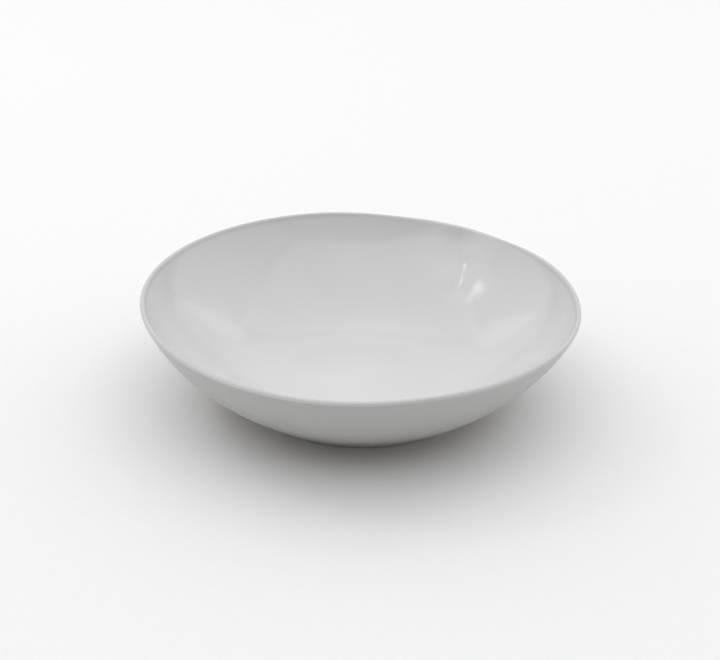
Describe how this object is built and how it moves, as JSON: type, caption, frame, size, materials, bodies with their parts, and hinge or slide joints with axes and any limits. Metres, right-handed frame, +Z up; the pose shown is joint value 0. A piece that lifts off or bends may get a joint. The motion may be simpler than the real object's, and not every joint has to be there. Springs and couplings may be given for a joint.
{
  "type": "evaporating dish",
  "caption": "Shallow white porcelain evaporating dish with flaring walls, a small pouring spout pressed into the rounded rim, glossy glaze and a flat unglazed foot.",
  "frame": {"origin": "centre of the flat foot's face, on the surface that the dish stands on", "axes": "+Z up along the dish's axis, +X towards the pouring spout"},
  "size_m": [0.1522, 0.15, 0.037],
  "materials": {
    "bare_porcelain": "fired and ground, unglazed, matt",
    "white_glaze": "clear glaze over white porcelain, glossy inside and satin outside"
  },
  "bodies": {
    "root": {"porcelain_body": "bare_porcelain", "glaze_coat": "white_glaze"}
  },
  "joints": []
}
